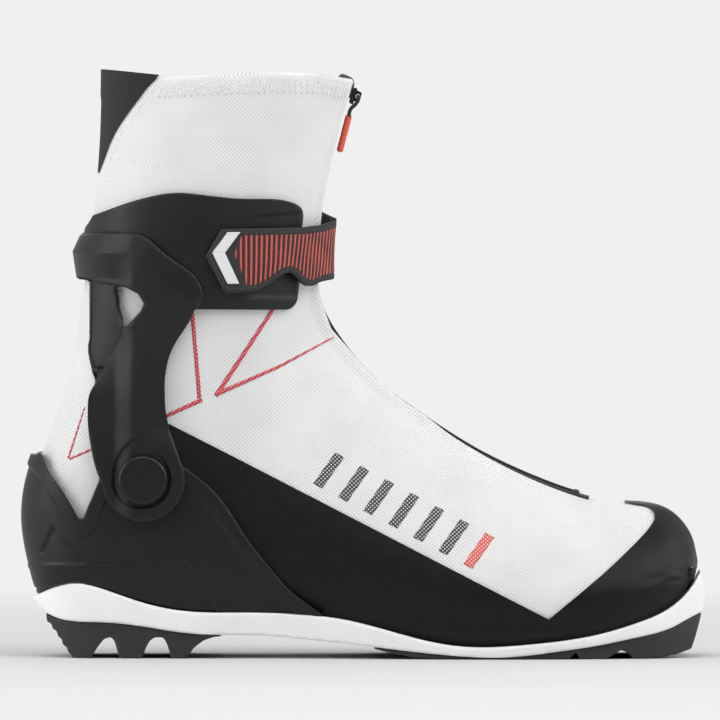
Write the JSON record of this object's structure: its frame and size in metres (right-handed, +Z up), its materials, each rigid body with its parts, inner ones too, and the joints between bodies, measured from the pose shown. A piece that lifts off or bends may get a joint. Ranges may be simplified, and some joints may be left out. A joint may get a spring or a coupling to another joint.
{
  "type": "cross country ski boot",
  "caption": "High-cut cross country skate boot for the right foot with a hinged ankle cuff, a lift-off strap, a front zip and a toe bar in the sole.",
  "frame": {"origin": "centre of the steel toe bar under the toe, the axle that the ski binding grips", "axes": "+X towards the toe, +Y towards the inner (medial) side of this right boot and along the toe bar, +Z up"},
  "size_m": [0.3007, 0.097, 0.2568],
  "materials": {
    "rubber_black": "matt black rubber",
    "foam_white": "smooth white moulded foam",
    "steel": "plain steel",
    "board_grey": "fibre board",
    "insole_foam": "napped foam",
    "lining_knit": "black knit",
    "softshell_white": "white softshell with a fine dot perforation",
    "film_black": "smooth black film",
    "plastic_black": "matt black moulded plastic",
    "cap_black": "satin black",
    "zip_black": "black woven tape and nylon coil",
    "elastic_black": "ribbed black elastic",
    "padding_grey": "brushed dark grey lining",
    "strap_black": "black webbing with red stripes",
    "hook_black": "hook and loop tape",
    "print_white": "white weld film",
    "pull_red": "red-orange soft plastic"
  },
  "bodies": {
    "boot": {"outsole_heel": "rubber_black", "outsole_forefoot": "rubber_black", "toe_bar": "steel", "midsole": "foam_white", "lasting_board": "board_grey", "insole": "insole_foam", "foot_lining": "lining_knit", "toe_puff": "board_grey", "foot_cover": "softshell_white", "rand": "film_black", "heel_counter": "plastic_black", "pivot_rivets": "steel", "pivot_caps": "cap_black", "zip_tape_foot": "zip_black", "zip_chain_foot": "zip_black", "gusset_front": "softshell_white", "gusset_back": "softshell_white", "rand_ankle": "film_black"},
    "cuff": {"shaft_cover": "softshell_white", "collar_elastic": "elastic_black", "shaft_padding": "padding_grey", "zip_tape_shaft": "zip_black", "zip_chain_shaft": "zip_black", "zip_garage": "strap_black", "cuff_frame": "plastic_black", "cuff_wrap": "plastic_black", "loop_pad": "hook_black", "strap_base": "strap_black", "strap_rivets": "cap_black"},
    "strap_end": {"strap_free": "strap_black", "hook_pad": "hook_black", "strap_chevron": "print_white"},
    "slider": {"zip_slider": "cap_black"},
    "pull": {"zip_pull_cord": "zip_black", "zip_pull_grip": "pull_red"}
  },
  "joints": [
    {"name": "cuff_flex", "type": "hinge", "parent": "boot", "child": "cuff", "pos_m": [-0.234, 0, 0.0715], "axis": [0, 1, 0], "range_deg": [-8, 20], "deforming": ["gusset_front", "gusset_back", "rand_ankle"]},
    {"name": "strap_open", "type": "hinge", "parent": "cuff", "child": "strap_end", "pos_m": [-0.149, -0.00095, 0.171], "axis": [0, 0, 1], "range_deg": [0, 100]},
    {"name": "zip_slide", "type": "slide", "parent": "cuff", "child": "slider", "axis": [-0.2624, 0, -0.965], "range_m": [0, 0.018]},
    {"name": "zip_pull_swing", "type": "hinge", "parent": "slider", "child": "pull", "pos_m": [-0.13982, 0, 0.23911], "axis": [0, 1, 0], "range_deg": [-150, 0]}
  ]
}
